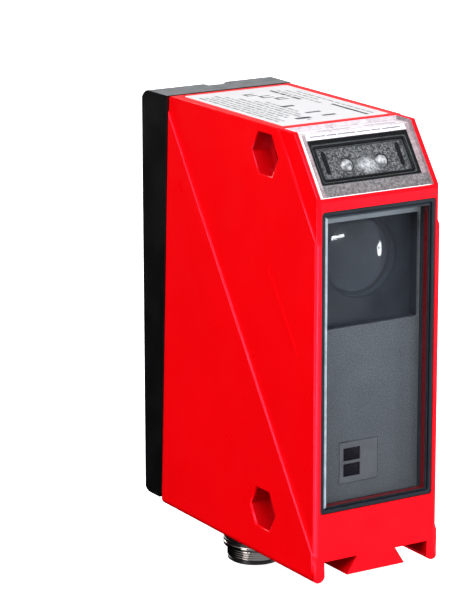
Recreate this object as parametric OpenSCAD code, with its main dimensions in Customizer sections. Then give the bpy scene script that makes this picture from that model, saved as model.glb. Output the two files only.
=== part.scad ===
// Photoelectric distance sensor in a narrow upright die-cast housing.
// X runs across the narrow front, Y from the front glass to the rear cover, Z up.
// The origin is the middle of the front edge of the underside of the foot's tongue.

/* [Housing] */
// Width across the housing
body_w = 30.6; // [30.2:0.1:31]
// Height from the tongue's underside to the top
body_h = 90; // [89:0.5:92]
// Depth of the housing at its top, where the rear cover begins
top_d = 56.5; // [56:0.1:57]
// Depth of the housing at its foot
foot_d = 60.2; // [59.8:0.1:60.4]
// Depth over everything, rear cover included
full_d = 67.6; // [67:0.1:68.4]
// Height at which the front slopes back
chamfer_z = 77.4; // [77:0.1:78]
// Depth of the sloping face, seen from above
chamfer_d = 9; // [8.6:0.1:9.4]
// How far each field of the sides steps in from the one below it
step = 0.45; // [0.3:0.05:0.5]
// Radius of the upright front edges
edge_r = 0.8; // [0.5:0.1:1.2]
// Thickness of the side walls at the foot
wall = 2.55; // [2.4:0.05:2.6]

/* [Fixing] */
// Height of the lower cross hole
hole_z = 10; // [9.9:0.1:10.2]
// Distance between the two cross holes
hole_pitch = 74; // [73.5:0.1:74]
// Distance of the cross holes behind the front
hole_y = 19; // [18.5:0.1:20]
// Diameter of the cross holes, clearance for M5
hole_d = 5.3; // [5.1:0.1:5.6]
// Width across flats of the nut pockets
nut_af = 8.15; // [8.05:0.05:8.3]
// Depth of the nut pockets
nut_depth = 4.2; // [3:0.1:4.5]
// Half width of the foot's tongue at its underside
tongue_w = 7.1; // [6.6:0.1:7.4]
// Half width of the tongue at its root
tongue_root = 4.8; // [4.4:0.1:5.2]
// Half width between the two side feet
groove_w = 12.4; // [12:0.1:12.6]
// Depth of the grooves beside the tongue
groove_h = 3.6; // [3:0.1:3.7]
// Length of the grooves, from the front
groove_l = 38; // [30:1:38]
// How far the two side feet reach below the tongue
foot_drop = 0.5; // [0.2:0.1:0.6]

/* [Front window] */
// Width of the black frame
frame_w = 27; // [26.6:0.1:27.2]
// Lower edge of the black frame
frame_z0 = 13.75; // [13.5:0.05:14.5]
// Upper edge of the black frame
frame_z1 = 75.5; // [75:0.1:75.6]
// Width of the frame's bars
frame_bar = 0.85; // [0.7:0.05:1]
// Thickness of the front glass
glass_t = 0.9; // [0.8:0.05:1]
// Upper edge of the mask panel's closed part
mask_z = 50.6; // [46:0.1:52]
// Lower edge of the strip above the lens opening
strip_z = 72.2; // [71.8:0.1:73]
// Height of the receiver lens's centre
lens_z = 63.8; // [63.5:0.1:64.2]
// Radius of the receiver lens
lens_r = 8.4; // [8:0.1:8.5]
// Distance of the lens's front behind the housing's front
lens_y = 4.6; // [4.5:0.1:5]
// Sideways place of the emitter
emitter_x = -3.8; // [-4:0.1:-3.6]
// Height of the emitter
emitter_z = 22.45; // [22.3:0.05:22.6]

/* [Indicator window] */
// Width of the clear window on the slope
clear_w = 26.8; // [26:0.1:27]
// Depth of the window's rear edge on the top face
clear_y = 14; // [13.5:0.1:14.5]
// Thickness of the clear window
clear_t = 1; // [0.9:0.1:1.1]
// Sideways distance of each lamp from the middle of the pair
lamp_x = 4.1; // [3.8:0.1:4.4]
// Radius of a lamp
lamp_r = 1.5; // [1.2:0.1:1.5]

/* [Rear cover] */
// Wall of the rear cover
cover_wall = 1.7; // [1.5:0.1:1.8]
// Height of the cover's lower edge
cover_z = 0.8; // [0.8:0.1:1.2]
// Radius of the hinge knuckles
knuckle_r = 1; // [0.9:0.05:1]
// Radius of the hinge pin
hinge_pin_r = 0.5; // [0.4:0.05:0.55]
// Travel of a key
key_travel = 0.5; // [0.3:0.1:0.6]

/* [Plug] */
// Distance of the plug's axis behind the front
plug_y = 46.5; // [46:0.1:47]
// Radius of the plug's thread
thread_r = 6; // [5.9:0.1:6.1]
// Radius of the collar and of the plug's flange
collar_r = 6.8; // [6.6:0.1:7]
// Length of the black collar
collar_h = 7; // [6:0.1:7.5]
// Distance from the tongue's underside to the plug's end
plug_l = 11.3; // [11:0.1:12]

/* [Hidden] */

big = 200;
fit = 0.05;                     // gap between pieces that are only fastened together
wide = body_w;                  // width of the lowest field of the sides
middle_w = body_w - 2 * step;   // width of the middle field
narrow = body_w - 4 * step;     // width of the field beside the slope
lean = atan((foot_d - top_d) / body_h);
slope = atan((body_h - chamfer_z) / chamfer_d);
slope_l = norm([body_h - chamfer_z, chamfer_d]);

// The raised fields of the sides end at two lines that climb towards the rear
field_rise = 1.446;             // rise of the lines per millimetre of depth
low_field_z = 4.85;             // height of the lower line at the front
high_field_z = 69;              // height of the upper line at the front

// Interior
cavity_w = body_w - 2 * wall;
cavity_y = 2.6;
floor_z = 6;
roof_z = 86.2;
boss_r = 5.6;
hole_zs = [hole_z, hole_z + hole_pitch];
tip_out_r = 1.4;                // radii of the side feet's tips, outside and inside
tip_in_r = 1.4;
boss_end = -12.5;               // depth of the screw bosses behind the parting plane

// Front window, from the front to the rear
ledge_y = 1;
tunnel_w = frame_w - 2 * frame_bar - 0.6;
tunnel_z0 = frame_z0 + frame_bar + 0.3;
tunnel_z1 = frame_z1 - frame_bar - 0.3;
glass_w = frame_w - 2 * frame_bar - 2 * fit;
glass_z0 = frame_z0 + frame_bar + fit;
glass_z1 = frame_z1 - frame_bar - fit;
mask_y = 3.5;
mask_t = 0.8;
mask_bar = 0.35;
insert_x = [-6.8, 2.4];
insert_zs = [18.2, 26.7];
carrier_w = cavity_w - 0.2;
carrier_z0 = 14.4;
carrier_z1 = 74.9;
block_w = 24.8;
block_y = 16;
lens_seat_y = 6.6;
tube_y = 38;
tube_w = 19.2;
tube_z0 = 54.1;
tube_z1 = 73.6;
tube_wall = 1.4;
barrel_r = 4.2;
sleeve_r = 5.6;
flange_y = [30, 32];
flange_z0 = 48.4;
carrier_screw_x = 10.9;
carrier_screw_z = 50.8;
filter_y = 33;
chip_y = tube_y - 1.4;

// Indicator, in distances below the slope's face
lamps_x = 0.4;
gasket_x = 11.95;
gasket_s = [3.9, 13.6];
gasket_in_x = 10.2;
gasket_in_s = [5.45, 11.9];
gasket_bottom = 3.2;
plate_top = 1.8;
lamp_s = 8.1;
lamp_top = 1.15;

// Control panel, in distances from the parting plane and along it
panel_w = 26.6;
panel_s = [3.5, 87.6];
panel_y = [-2.9, -0.9];
gasket_y = [-3.6, -2.9];
panel_screw_x = 10.3;
panel_screw_s = [9, 82];
screen_s = 66;
screen_w = [19, 13];
key_s = [20, 32, 44];
key_size = [12, 7];
key_y = [-3.9, -0.25];
switch_top = -5.95;
board_y = [-9.4, -8];
board_w = 21;
board_s = [14.5, 78.5];
board_post_x = 8.6;
board_post_s = [16.8, 76.2];

// Label on top
label_x = [-12.5, 12.9];
label_y = [16, 54.5];
label_t = 0.25;

// Hinge of the rear cover, in distances from the parting plane and along it
cover_gap = 0.15;
cover_edge_r = 0.5;
cover_low_r = 2.2;
cover_top_r = 3.4;
finger_x = 1.4;
finger_z = 88.9;
hinge_y = knuckle_r + cover_gap;
hinge_s = cover_z + knuckle_r;
lug_x = 8.5;
lug_w = 3;

// Main board, upright beside the left wall seen from the rear
board_x = 11.6;
board_t = 1.4;
chip_x = board_x - board_t;

// Plug, in distances from its axis and from the tongue's underside
plug_neck_r = 5.5;
plug_bore_r = 4.4;
plug_pin_r = 2.9;
pin_r = 0.5;
plug_top = 9.5;
insert_z = -3.4;

// An extrusion across the housing of a shape drawn as depth and height
module across(w) {
    rotate([90, 0, 90]) translate([0, 0, -w / 2]) linear_extrude(w) children();
}

// An extrusion from y0 to y1 of a shape drawn as width and height
module along(y0, y1) {
    translate([0, y1, 0]) rotate([90, 0, 0]) linear_extrude(y1 - y0) children();
}

// Local frame of the slope: x across, y up the slope, z out of it
module on_slope() {
    translate([0, 0, chamfer_z]) rotate([slope, 0, 0]) children();
}

// Local frame of the parting plane: x across, y out of it, z up along it
module on_rear() {
    translate([0, foot_d, 0]) rotate([lean, 0, 0]) children();
}

// A block given by its limits
module block(x, y, z) {
    translate([x[0], y[0], z[0]]) cube([x[1] - x[0], y[1] - y[0], z[1] - z[0]]);
}

// A round bar along Y from y0 to y1
module bar_y(x, z, r, y0, y1) {
    translate([x, y1, z]) rotate([90, 0, 0]) cylinder(h = y1 - y0, r = r);
}

// A round bar along X, centred
module bar_x(y, z, r, w) {
    translate([-w / 2, y, z]) rotate([0, 90, 0]) cylinder(h = w, r = r);
}

// A rectangle with round corners, centred
module round_rect(w, h, r) {
    square([w - 2 * r, h], center = true);
    square([w, h - 2 * r], center = true);
    for (x = [-1, 1], y = [-1, 1])
        translate([x * (w / 2 - r), y * (h / 2 - r)]) circle(r = r);
}

// A tube that follows a list of points, with the rings kept level or upright as the path turns
function path_dir(p, i) =
    let (a = p[max(i - 1, 0)], b = p[min(i + 1, len(p) - 1)]) (b - a) / norm(b - a);
function side_of(d) = abs(d[2]) > 0.9 ? [1, 0, 0] : cross(d, [0, 0, 1]) / norm(cross(d, [0, 0, 1]));
module tube(p, r, sides = 8) {
    rings = [for (i = [0:len(p) - 1])
        let (d = path_dir(p, i), u = side_of(d), v = cross(d, u))
        for (k = [0:sides - 1]) p[i] + r * (cos(360 * k / sides) * u + sin(360 * k / sides) * v)];
    last = (len(p) - 1) * sides;
    polyhedron(rings, concat(
        [[for (k = [0:sides - 1]) k]],
        [[for (k = [sides - 1:-1:0]) last + k]],
        [for (i = [0:len(p) - 2], k = [0:sides - 1])
            let (j = (k + 1) % sides)
                [i * sides + k, (i + 1) * sides + k, (i + 1) * sides + j, i * sides + j]]));
}

// Housing ------------------------------------------------------------------------------------

module side_profile() {
    polygon([[0, -foot_drop], [foot_d, -foot_drop], [foot_d, 0], [top_d, body_h],
             [chamfer_d, body_h], [0, chamfer_z]]);
}

// The part of the side below a climbing line
module below_line(z0) {
    intersection() {
        side_profile();
        polygon([[-1, -1], [-1, z0 - field_rise], [big, z0 + field_rise * big], [big, -1]]);
    }
}

// One field of the sides, as wide as it stands out, with round upright front edges
module field(w) {
    intersection() {
        across(w) children();
        translate([0, 0, -foot_drop]) linear_extrude(body_h + foot_drop) union() {
            translate([-w / 2, edge_r]) square([w, foot_d]);
            translate([edge_r - w / 2, 0]) square([w - 2 * edge_r, foot_d]);
            for (x = [-1, 1]) translate([x * (w / 2 - edge_r), edge_r]) circle(r = edge_r);
        }
    }
}

module cavity() {
    across(cavity_w) polygon([
        [cavity_y, floor_z], [cavity_y, carrier_z1 + 0.2], [4, carrier_z1 + 0.2],
        [11.95, roof_z], [foot_d + 2, roof_z], [foot_d + 2, floor_z]]);
    on_rear() block([-panel_w / 2 - fit, panel_w / 2 + fit], [gasket_y[0], 2],
                    [panel_s[0] - fit, panel_s[1] + fit]);
}

module foot_grooves() {
    for (side = [0, 1]) mirror([side, 0, 0])
        along(-1, groove_l) polygon([[tongue_w, -1], [tongue_w, 0], [tongue_root, groove_h],
                                     [groove_w, groove_h], [groove_w, -1]]);
}

// Hollows the underside between the side feet and rounds their tips
module foot_tips() {
    block([-groove_w, groove_w], [-1, foot_d + 1], [-2, 0]);
    for (side = [0, 1]) mirror([side, 0, 0]) {
        difference() {
            block([body_w / 2 - tip_out_r, body_w / 2 + 1], [-1, foot_d + 1], [-2, tip_out_r - foot_drop]);
            bar_y(body_w / 2 - tip_out_r, tip_out_r - foot_drop, tip_out_r, -2, foot_d + 2);
        }
        difference() {
            block([groove_w - 1, groove_w + tip_in_r], [-1, groove_l], [-2, tip_in_r - foot_drop]);
            bar_y(groove_w + tip_in_r, tip_in_r - foot_drop, tip_in_r, -2, foot_d);
            block([groove_w - 2, groove_w], [-2, foot_d], [-1, 3]);
        }
    }
}

module nut_pockets() {
    for (z = hole_zs, side = [0, 1]) mirror([side, 0, 0])
        translate([middle_w / 2 - nut_depth, hole_y, z]) rotate([0, 90, 0]) rotate(90)
            cylinder(h = nut_depth + 1, r = nut_af / sqrt(3), $fn = 6);
}

module indicator_recess() {
    seat = clear_outline(clear_t + fit, -fit);
    across(clear_w + 2 * fit) polygon([
        seat[0] + [-sin(slope), cos(slope)], [chamfer_d - 1, body_h + 1], seat[2] + [0, 1],
        seat[3], seat[4], seat[5]]);
    on_slope() translate([lamps_x, 0, 0]) {
        block([-gasket_x - fit, gasket_x + fit], [gasket_s[0] - fit, gasket_s[1] + fit], [-gasket_bottom, 0]);
        block([-9.4, 9.4], [6.1, 11.4], [-7, 0]);
    }
}

module housing() {
    color("red") difference() {
        union() {
            difference() {
                union() {
                    field(narrow) side_profile();
                    field(middle_w) below_line(high_field_z);
                    field(wide) below_line(low_field_z);
                    hinge_lugs();
                }
                cavity();
            }
            for (z = hole_zs) bar_x(hole_y, z, boss_r, cavity_w + 1);
            on_rear() for (x = [-1, 1], s = panel_screw_s)
                bar_y(x * panel_screw_x, s, 2.6, boss_end, gasket_y[0]);
            for (x = [-1, 1])
                block([min(x * 9.4, x * 13), max(x * 9.4, x * 13)], [20, flange_y[0] - 0.1], [48, 53.5]);
        }
        along(-1, ledge_y) translate([0, (frame_z0 + frame_z1) / 2])
            round_rect(frame_w + 2 * fit, frame_z1 - frame_z0 + 2 * fit, 0.8);
        block([-tunnel_w / 2, tunnel_w / 2], [0, cavity_y + 1], [tunnel_z0, tunnel_z1]);
        indicator_recess();
        block(label_x + [-0.1, 0.1], label_y + [-0.1, 0.1], [body_h - label_t, body_h + 1]);
        foot_grooves();
        foot_tips();
        nut_pockets();
        for (z = hole_zs) bar_x(hole_y, z, hole_d / 2, body_w + 2);
        on_rear() for (x = [-1, 1], s = panel_screw_s)
            bar_y(x * panel_screw_x, s, 0.85, boss_end + 1.5, 1);
        for (x = [-1, 1]) bar_y(x * carrier_screw_x, carrier_screw_z, 0.85, 22, 31);
        on_rear() bar_x(hinge_y, hinge_s, hinge_pin_r + 0.02, 2 * lug_x + lug_w + 2);
        translate([0, plug_y, -1]) cylinder(h = floor_z + 2, r = plug_neck_r + fit);
        translate([0, plug_y, -1]) cylinder(h = 2.2, r = 6.55);
    }
}

module hinge_lugs() {
    on_rear() for (x = [-1, 1]) translate([x * lug_x, 0, 0]) {
        bar_x(hinge_y, hinge_s, knuckle_r, lug_w);
        block([-lug_w / 2, lug_w / 2], [-1, hinge_y], [hinge_s - knuckle_r, hinge_s + knuckle_r]);
    }
}

// Front window ---------------------------------------------------------------------------------

module window_frame() {
    mid = (frame_z0 + frame_z1) / 2;
    h = frame_z1 - frame_z0;
    color("dimgray") along(0.1, ledge_y) translate([0, mid]) difference() {
        round_rect(frame_w, h, 0.75);
        round_rect(frame_w - 2 * frame_bar, h - 2 * frame_bar, 0.3);
    }
}

module front_glass() {
    color("slategray", 0.4) along(ledge_y - glass_t + 0.1, ledge_y) translate([0, (glass_z0 + glass_z1) / 2])
        round_rect(glass_w, glass_z1 - glass_z0, 0.25);
}

module mask_panel() {
    w = tunnel_w - 2 * fit;
    color("gray") difference() {
        block([-w / 2, w / 2], [mask_y, mask_y + mask_t], [tunnel_z0 - 0.35, tunnel_z1 + 0.05]);
        block([-w / 2 + mask_bar, w / 2 - mask_bar], [mask_y - 1, mask_y + 2], [mask_z, strip_z]);
        block(insert_x + [-fit, fit], [mask_y - 1, mask_y + 2], insert_zs + [-fit, fit]);
    }
}

module aperture_insert() {
    color("darkgray") difference() {
        block(insert_x, [mask_y - 0.05, mask_y + mask_t], insert_zs);
        for (z = [emitter_z - 1.65, emitter_z + 1.65])
            block([emitter_x - 2, emitter_x + 2], [mask_y - 1, mask_y + 2], [z - 1.35, z + 1.35]);
    }
}

module receiver_lens() {
    edge_t = 1.6;
    sag = lens_seat_y - lens_y;
    ball = (lens_r * lens_r + sag * sag) / (2 * sag);
    color("slategray", 0.5) intersection() {
        translate([0, lens_y + ball, lens_z]) sphere(r = ball);
        bar_y(0, lens_z, lens_r - fit, lens_y - 1, lens_seat_y + edge_t);
    }
}

module lens_ring() {
    color("black") along(lens_seat_y + 1.6, lens_seat_y + 3.2) translate([0, lens_z]) difference() {
        circle(r = lens_r - fit);
        circle(r = lens_r - 1);
    }
}

module optics_carrier() {
    rim_w = tunnel_w;
    color([0.1, 0.12, 0.16]) difference() {
        union() {
            block([-carrier_w / 2, carrier_w / 2], [cavity_y + fit, 6.9], [carrier_z0, carrier_z1]);
            block([-block_w / 2, block_w / 2], [6.8, block_y], [16, carrier_z1]);
            bar_y(emitter_x, emitter_z, sleeve_r, block_y - 1, 26);
            block([-tube_w / 2, tube_w / 2], [block_y - 1, tube_y], [tube_z0, tube_z1]);
            block([-carrier_w / 2, carrier_w / 2], flange_y, [flange_z0, tube_z0 + 1]);
        }
        block([-rim_w / 2, rim_w / 2], [0, mask_y + mask_t + fit], [tunnel_z0 - 0.4, tunnel_z1 + 0.1]);
        block([-rim_w / 2 + mask_bar, rim_w / 2 - mask_bar], [mask_y, lens_seat_y], [mask_z - 0.2, 73.6]);
        block([-10.6, 10.6], [8, block_y + 1], [30, 48]);
        bar_y(0, lens_z, lens_r, lens_seat_y - 1, lens_seat_y + 3.2);
        bar_y(0, lens_z, lens_r - 1.1, lens_seat_y, block_y + 1);
        block([-tube_w / 2 + tube_wall, tube_w / 2 - tube_wall], [block_y, tube_y + 1],
              [tube_z0 + tube_wall, tube_z1 - tube_wall]);
        bar_y(emitter_x, emitter_z, barrel_r, 5, 27);
        for (x = [-1, 1]) bar_y(x * carrier_screw_x, carrier_screw_z, 1, flange_y[0] - 1, flange_y[1] + 1);
    }
}

module carrier_screws() {
    color("silver") for (x = [-1, 1]) {
        bar_y(x * carrier_screw_x, carrier_screw_z, 0.82, 23, flange_y[1] + 0.1);
        bar_y(x * carrier_screw_x, carrier_screw_z, 1.5, flange_y[1] + 0.02, flange_y[1] + 1.4);
    }
}

module emitter_barrel() {
    color("darkgoldenrod") difference() {
        bar_y(emitter_x, emitter_z, barrel_r - 0.02, 6.2, 28);
        bar_y(emitter_x, emitter_z, 3.1, 6, 10);
        bar_y(emitter_x, emitter_z, 2.4, 9, 26);
        bar_y(emitter_x, emitter_z, 2.85, 25, 29);
    }
}

module collimator_lens() {
    color("lightblue", 0.5) intersection() {
        bar_y(emitter_x, emitter_z, 3.05, 6, 10);
        translate([emitter_x, 14.2, emitter_z]) sphere(r = 7);
    }
}

module laser_diode() {
    color("gold") {
        bar_y(emitter_x, emitter_z, 2.8, 25.05, 26.3);
        bar_y(emitter_x, emitter_z, 1.9, 22.8, 25.1);
        for (a = [90, 210, 330])
            bar_y(emitter_x + 1.2 * cos(a), emitter_z + 1.2 * sin(a), 0.22, 26.2, 31);
    }
}

module light_filter() {
    color("darkred", 0.6) block([-8.1, 8.1], [filter_y, filter_y + 1.2],
                                [tube_z0 + tube_wall + 0.1, tube_z1 - tube_wall - 0.1]);
}

module receiver_chip() {
    color("dimgray") {
        block([-5.2, 5.2], [chip_y, tube_y + 0.2], [lens_z - 3.6, lens_z + 3.6]);
        block([-4, 4], [chip_y - 0.2, chip_y + 0.1], [lens_z - 1, lens_z + 1]);
    }
}

module receiver_board() {
    color("green") block([-9.4, 9.4], [tube_y + 0.2, tube_y + 1.6], [tube_z0, tube_z1]);
}

// Indicator on the slope -----------------------------------------------------------------------

// Outline of the clear window, as depth and height: t is its thickness, in is how far its ends draw in
function clear_outline(t, in) =
    let (u = [chamfer_d, body_h - chamfer_z] / slope_l,
         n = [u[1], -u[0]],
         foot = [0, chamfer_z] + (1 + in) * u,
         inner = [0, chamfer_z] + t * n,
         crest = inner + u * ((body_h - t - inner[1]) / u[1]))
    [foot, [chamfer_d, body_h], [clear_y - in, body_h], [clear_y - in, body_h - t], crest, foot + t * n];

module indicator_window() {
    color("white", 0.4) across(clear_w) polygon(clear_outline(clear_t, 0));
}

module indicator_gasket() {
    color("black") on_slope() translate([lamps_x, 0, 0]) difference() {
        block([-gasket_x, gasket_x], gasket_s, [-gasket_bottom, -clear_t - fit]);
        block([-gasket_in_x, gasket_in_x], gasket_in_s, [-5, 0]);
    }
}

module indicator_plate() {
    color("gray") on_slope() translate([lamps_x, 0, 0]) difference() {
        block([-gasket_in_x + fit, gasket_in_x - fit], [gasket_in_s[0] + fit, gasket_in_s[1] - fit],
              [-gasket_bottom, -plate_top]);
        for (x = [-1, 1]) {
            translate([x * 8.8, 0, 0]) block([-0.45, 0.45], [6.7, 11.3], [-5, 0]);
            translate([x * lamp_x, lamp_s, -5]) cylinder(h = 5, r = lamp_r + fit);
        }
    }
}

module lamp(x) {
    mid = -lamp_top - lamp_r;
    on_slope() translate([lamps_x + x, lamp_s, 0]) {
        translate([0, 0, -6]) cylinder(h = 6 + mid, r = lamp_r);
        translate([0, 0, mid]) intersection() {
            sphere(r = lamp_r);
            translate([0, 0, -0.01]) cylinder(h = 2, r = 2);
        }
    }
}

module power_lamp() {
    color("palegreen", 0.6) lamp(-lamp_x);
}

module signal_lamp() {
    color("khaki", 0.6) lamp(lamp_x);
}

module indicator_board() {
    color("green") on_slope() translate([lamps_x, 0, 0]) block([-9.2, 9.2], [5.4, 12], [-7.2, -6]);
}

module type_label() {
    color("white") block(label_x, label_y, [body_h - label_t, body_h - 0.05]);
}

// Electronics ----------------------------------------------------------------------------------

module main_board() {
    color("green") difference() {
        block([board_x - board_t, board_x], [21, 44], [17.5, 47]);
        for (p = [[24, 20], [41, 44.5]])
            translate([0, p[0], p[1]]) rotate([0, 90, 0]) cylinder(h = 20, r = 1.1);
    }
}

module board_chips() {
    color([0.12, 0.12, 0.13]) {
        block([chip_x - 1.6, chip_x], [26, 36], [30, 40]);
        block([chip_x - 1.4, chip_x], [38, 42], [31, 36]);
        block([chip_x - 1.2, chip_x], [28, 32], [22, 26]);
    }
}

module board_capacitors() {
    color("goldenrod") {
        for (z = [42.5, 45.5], y = [24.5, 27.5, 30.5])
            block([chip_x - 1.2, chip_x], [y, y + 2], [z - 0.6, z + 0.6]);
        for (z = [21, 25.5]) translate([chip_x - 3, 39, z]) rotate([0, 90, 0]) cylinder(h = 3, r = 2);
    }
}

module board_sockets() {
    color("ivory") {
        block([chip_x - 4, chip_x], [34.2, 42], [41, 43]);
        block([chip_x - 3.5, chip_x], [22, 26], [26, 36]);
    }
}

// Control panel at the rear --------------------------------------------------------------------

module panel_ring(w, s, bar) {
    difference() {
        block([-w / 2, w / 2], gasket_y, s);
        block([-w / 2 + bar[0], w / 2 - bar[0]], [gasket_y[0] - 1, gasket_y[1] + 1],
              [s[0] + bar[1], s[1] - bar[2]]);
    }
}

module panel_gasket() {
    color([0.2, 0.2, 0.22]) on_rear() panel_ring(panel_w, panel_s, [0.55, 2.4, 1.5]);
}

module control_panel() {
    color([0.08, 0.08, 0.09]) on_rear() difference() {
        union() {
            block([-panel_w / 2, panel_w / 2], panel_y, panel_s);
            for (x = [-1, 1], s = board_post_s) bar_y(x * board_post_x, s, 1.6, board_y[1], panel_y[0] + 0.1);
        }
        translate([0, 0, screen_s]) along(panel_y[1] - 0.9, 1) round_rect(screen_w[0], screen_w[1], 1);
        translate([0, 0, screen_s]) block([-8.2, 8.2], [-5, 0], [-5.4, 5.4]);
        for (s = key_s) translate([0, 0, s])
            along(-5, 1) round_rect(key_size[0] + 0.5, key_size[1] + 0.5, 1.25);
        for (x = [-1, 1], s = panel_screw_s) {
            bar_y(x * panel_screw_x, s, 1.1, -4, 1);
            bar_y(x * panel_screw_x, s, 1.95, -1.9, 1);
        }
        for (x = [-1, 1], s = board_post_s) bar_y(x * board_post_x, s, 0.6, board_y[1] - 1, -4);
    }
}

module panel_screws() {
    color("silver") on_rear() for (x = [-1, 1], s = panel_screw_s) difference() {
        union() {
            bar_y(x * panel_screw_x, s, 0.83, -10, -1.8);
            bar_y(x * panel_screw_x, s, 1.85, -1.88, -0.75);
        }
        translate([x * panel_screw_x, 0, s]) for (a = [0, 90]) rotate([0, a, 0])
            block([-1.1, 1.1], [-1.3, 0], [-0.2, 0.2]);
    }
}

module display_window() {
    color("black", 0.7) on_rear() translate([0, 0, screen_s])
        along(panel_y[1] - 0.9 + 0.02, panel_y[1] - 0.05)
            round_rect(screen_w[0] - 0.1, screen_w[1] - 0.1, 0.95);
}

module display_module() {
    color("midnightblue") on_rear() translate([0, 0, screen_s]) {
        block([-9.4, 9.4], [-4.8, -3.1], [-6.4, 6.4]);
        block([-8, 8], [-3.2, -2.1], [-5.2, 5.2]);
        block([-5, 5], [board_y[1], -4.7], [-2, 2]);
    }
}

module display_board() {
    color("green") on_rear() difference() {
        block([-board_w / 2, board_w / 2], board_y, board_s);
        for (x = [-1, 1], s = board_post_s) bar_y(x * board_post_x, s, 0.75, -12, 0);
    }
}

module key_switches() {
    color("dimgray") on_rear() for (s = key_s) {
        block([-2.25, 2.25], [board_y[1], -6.6], [s - 2.25, s + 2.25]);
        bar_y(0, s, 0.9, -6.7, switch_top);
    }
}

module display_screws() {
    color("silver") on_rear() for (x = [-1, 1], s = board_post_s) {
        bar_y(x * board_post_x, s, 0.58, board_y[0] - 0.1, -5);
        bar_y(x * board_post_x, s, 1.2, board_y[0] - 1, board_y[0] - 0.02);
    }
}

// A flat ribbon that leaves the display board forwards and turns into the main board's socket
module ribbon_cable() {
    y0 = foot_d - 13.4;
    color("tan") translate([0, 0, 26.5]) linear_extrude(9) polygon([
        [4, y0 + 2.55], [4, y0 + 0.5], [6.4, 27], [6.4, 22.5], [6.7, 22.5], [6.7, 27.1],
        [4.3, y0 + 0.6], [4.3, y0 + 2.55]]);
}

module key(s) {
    color("dimgray") on_rear() translate([0, 0, s]) {
        along(key_y[0] + 0.7, key_y[1]) round_rect(key_size[0], key_size[1], 1);
        along(key_y[0], key_y[0] + 0.8) round_rect(key_size[0] + 1.4, key_size[1] + 1.4, 1.5);
        bar_y(0, 0, 1.2, switch_top + key_travel + 0.15, key_y[0] + 0.1);
    }
}

module key_enter() {
    key(key_s[0]);
}

module key_down() {
    key(key_s[1]);
}

module key_up() {
    key(key_s[2]);
}

// Rear cover, which hinges at its lower edge ---------------------------------------------------

module hinge_pin() {
    color("silver") on_rear() bar_x(hinge_y, hinge_s, hinge_pin_r, body_w - 3.6);
}

// Depth of the parting plane at height z
function parting_y(z) = foot_d - (foot_d - top_d) * z / body_h;

// Side outline of the cover, drawn in by t, with round rear corners
module cover_outline(t, r_low, r_top) {
    y1 = full_d - t;
    z0 = cover_z + t;
    z1 = body_h - t;
    difference() {
        polygon([[parting_y(z0) + cover_gap, z0], [y1, z0], [y1, z1], [parting_y(z1) + cover_gap, z1]]);
        translate([y1 - r_low, z0 - 1]) square([r_low + 1, r_low + 1]);
        translate([y1 - r_top, z1 - r_top]) square([r_top + 1, r_top + 1]);
    }
    translate([y1 - r_low, z0 + r_low]) circle(r = r_low);
    translate([y1 - r_top, z1 - r_top]) circle(r = r_top);
}

module rear_cover() {
    edge = cover_edge_r;
    rear = full_d;
    color([0.06, 0.06, 0.07]) difference() {
        union() {
            difference() {
                intersection() {
                    across(body_w) cover_outline(0, cover_low_r, cover_top_r);
                    linear_extrude(body_h + 1) union() {
                        translate([-body_w / 2, 50]) square([body_w, rear - 50 - edge]);
                        translate([edge - body_w / 2, 50]) square([body_w - 2 * edge, rear - 50]);
                        for (x = [-1, 1]) translate([x * (body_w / 2 - edge), rear - edge]) circle(r = edge);
                    }
                }
                across(body_w - 2 * cover_wall) union() {
                    cover_outline(cover_wall, 1, 1.2);
                    translate([50, cover_z + cover_wall])
                        square([full_d - 56, body_h - cover_z - 2 * cover_wall]);
                }
                on_rear() block([-big, big], [-9, hinge_y], [0, hinge_s]);
            }
            on_rear() bar_x(hinge_y, hinge_s, knuckle_r, body_w - 0.4);
            on_rear() block([-3, 3], [-0.75, 2.5], [86.2, 87.3]);
            on_rear() block([-3, 3], [1, 2.5], [87, 89]);
            on_rear() bar_x(-0.2, 87.2, 0.35, 5);
        }
        on_rear() for (x = [-1, 1]) translate([x * lug_x, 0, 0]) {
            bar_x(hinge_y, hinge_s, knuckle_r + 0.3, lug_w + 0.5);
            block([-lug_w / 2 - 0.25, lug_w / 2 + 0.25], [-1, hinge_y + knuckle_r + 0.3], [-1, hinge_s]);
            block([-lug_w / 2 - 0.25, lug_w / 2 + 0.25], [-1, hinge_y], [-1, hinge_s + knuckle_r + 0.3]);
        }
        on_rear() bar_x(hinge_y, hinge_s, hinge_pin_r + 0.05, body_w - 3);
        block([finger_x - 2.9, finger_x + 2.9], [full_d - 4.9, full_d + 1], [finger_z, body_h + 1]);
    }
}

// Plug ------------------------------------------------------------------------------------------

module ring_z(r1, r0, z0, z1) {
    translate([0, plug_y, z0]) difference() {
        cylinder(h = z1 - z0, r = r1);
        translate([0, 0, -1]) cylinder(h = z1 - z0 + 2, r = r0);
    }
}

module plug_collar() {
    color("black") ring_z(collar_r, plug_neck_r + fit, -collar_h, -0.02);
}

module plug_shell() {
    color("silver") translate([0, plug_y, 0]) difference() {
        union() {
            translate([0, 0, -collar_h - 1.1]) cylinder(h = 1.08, r = collar_r);
            translate([0, 0, -plug_l]) cylinder(h = plug_l - collar_h - 0.5, r = thread_r);
            translate([0, 0, -collar_h - 0.1]) cylinder(h = collar_h + 0.1 + plug_top, r = plug_neck_r);
        }
        translate([0, 0, -plug_l - 1]) cylinder(h = 30, r = plug_bore_r);
    }
}

module plug_seal() {
    color("dimgray") translate([0, plug_y, 0.6]) rotate_extrude() translate([6.03, 0]) circle(r = 0.45);
}

module plug_nut() {
    color("silver") translate([0, plug_y, floor_z + 0.02]) difference() {
        cylinder(h = 2.4, r = 13.6 / sqrt(3), $fn = 6);
        translate([0, 0, -1]) cylinder(h = 5, r = plug_neck_r + 0.02);
    }
}

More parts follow.
